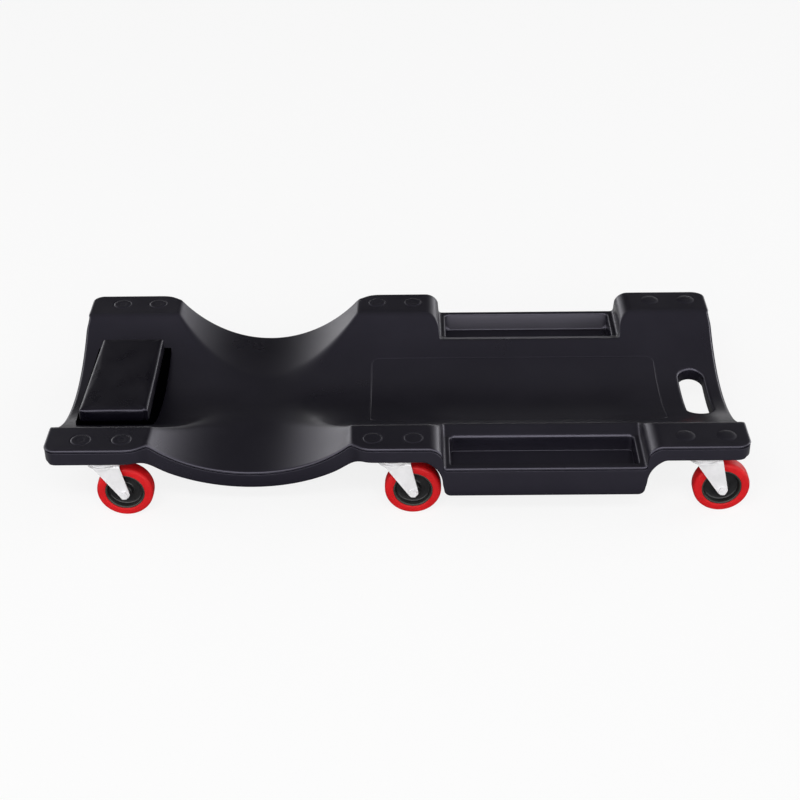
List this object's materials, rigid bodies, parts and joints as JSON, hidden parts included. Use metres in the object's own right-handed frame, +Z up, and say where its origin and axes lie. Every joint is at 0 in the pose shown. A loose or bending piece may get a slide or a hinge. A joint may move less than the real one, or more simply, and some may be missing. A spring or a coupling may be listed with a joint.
{
  "type": "mechanic creeper",
  "caption": "Low moulded creeper with a body trough, an arm recess, side tool trays, a padded headrest and swivel casters with red wheels.",
  "frame": {"origin": "on the floor below the middle of the deck", "axes": "+X towards the foot end with the hand slot, +Y to the left of a person lying face up with the head on the headrest, +Z up"},
  "size_m": [0.938, 0.43, 0.116],
  "materials": {
    "deck_plastic": "satin moulded polyethylene with a fine grain",
    "base_plastic": "smooth black plastic",
    "board_wood": "thin bare plywood",
    "vinyl": "smooth black vinyl with a soft sheen",
    "steel": "zinc plated steel",
    "zinc": "bright zinc plated pressed steel",
    "insert_brass": "turned brass",
    "core_plastic": "black glass-filled nylon",
    "tyre": "red polyurethane, satin"
  },
  "bodies": {
    "root": {"deck": "deck_plastic", "headrest_base": "base_plastic", "headrest_board": "board_wood", "headrest_cushion": "vinyl", "headrest_screws": "steel", "caster_bolts": "steel", "insert_nuts": "insert_brass", "plate_head_right": "zinc", "kingpin_head_right": "steel", "balls_head_right": "steel", "plate_mid_right": "zinc", "kingpin_mid_right": "steel", "balls_mid_right": "steel", "plate_foot_right": "zinc", "kingpin_foot_right": "steel", "balls_foot_right": "steel", "plate_head_left": "zinc", "kingpin_head_left": "steel", "balls_head_left": "steel", "plate_mid_left": "zinc", "kingpin_mid_left": "steel", "balls_mid_left": "steel", "plate_foot_left": "zinc", "kingpin_foot_left": "steel", "balls_foot_left": "steel"},
    "caster_head_right": {"fork_head_right": "zinc", "axle_head_right": "steel", "spacer_head_right": "steel"},
    "wheel_head_right": {"core_head_right": "core_plastic", "tyre_head_right": "tyre"},
    "caster_mid_right": {"fork_mid_right": "zinc", "axle_mid_right": "steel", "spacer_mid_right": "steel"},
    "wheel_mid_right": {"core_mid_right": "core_plastic", "tyre_mid_right": "tyre"},
    "caster_foot_right": {"fork_foot_right": "zinc", "axle_foot_right": "steel", "spacer_foot_right": "steel"},
    "wheel_foot_right": {"core_foot_right": "core_plastic", "tyre_foot_right": "tyre"},
    "caster_head_left": {"fork_head_left": "zinc", "axle_head_left": "steel", "spacer_head_left": "steel"},
    "wheel_head_left": {"core_head_left": "core_plastic", "tyre_head_left": "tyre"},
    "caster_mid_left": {"fork_mid_left": "zinc", "axle_mid_left": "steel", "spacer_mid_left": "steel"},
    "wheel_mid_left": {"core_mid_left": "core_plastic", "tyre_mid_left": "tyre"},
    "caster_foot_left": {"fork_foot_left": "zinc", "axle_foot_left": "steel", "spacer_foot_left": "steel"},
    "wheel_foot_left": {"core_foot_left": "core_plastic", "tyre_foot_left": "tyre"}
  },
  "joints": [
    {"name": "swivel_head_right", "type": "hinge", "parent": "root", "child": "caster_head_right", "pos_m": [-0.39, -0.186, 0.089], "axis": [0, 0, 1], "continuous": true},
    {"name": "roll_head_right", "type": "hinge", "parent": "caster_head_right", "child": "wheel_head_right", "pos_m": [-0.364, -0.186, 0.038], "axis": [0, 1, 0], "continuous": true},
    {"name": "swivel_mid_right", "type": "hinge", "parent": "root", "child": "caster_mid_right", "pos_m": [-0.0035, -0.186, 0.089], "axis": [0, 0, 1], "continuous": true},
    {"name": "roll_mid_right", "type": "hinge", "parent": "caster_mid_right", "child": "wheel_mid_right", "pos_m": [0.0225, -0.186, 0.038], "axis": [0, 1, 0], "continuous": true},
    {"name": "swivel_foot_right", "type": "hinge", "parent": "root", "child": "caster_foot_right", "pos_m": [0.409, -0.186, 0.089], "axis": [0, 0, 1], "continuous": true},
    {"name": "roll_foot_right", "type": "hinge", "parent": "caster_foot_right", "child": "wheel_foot_right", "pos_m": [0.435, -0.186, 0.038], "axis": [0, 1, 0], "continuous": true},
    {"name": "swivel_head_left", "type": "hinge", "parent": "root", "child": "caster_head_left", "pos_m": [-0.39, 0.186, 0.089], "axis": [0, 0, 1], "continuous": true},
    {"name": "roll_head_left", "type": "hinge", "parent": "caster_head_left", "child": "wheel_head_left", "pos_m": [-0.364, 0.186, 0.038], "axis": [0, 1, 0], "continuous": true},
    {"name": "swivel_mid_left", "type": "hinge", "parent": "root", "child": "caster_mid_left", "pos_m": [-0.0035, 0.186, 0.089], "axis": [0, 0, 1], "continuous": true},
    {"name": "roll_mid_left", "type": "hinge", "parent": "caster_mid_left", "child": "wheel_mid_left", "pos_m": [0.0225, 0.186, 0.038], "axis": [0, 1, 0], "continuous": true},
    {"name": "swivel_foot_left", "type": "hinge", "parent": "root", "child": "caster_foot_left", "pos_m": [0.409, 0.186, 0.089], "axis": [0, 0, 1], "continuous": true},
    {"name": "roll_foot_left", "type": "hinge", "parent": "caster_foot_left", "child": "wheel_foot_left", "pos_m": [0.435, 0.186, 0.038], "axis": [0, 1, 0], "continuous": true}
  ]
}
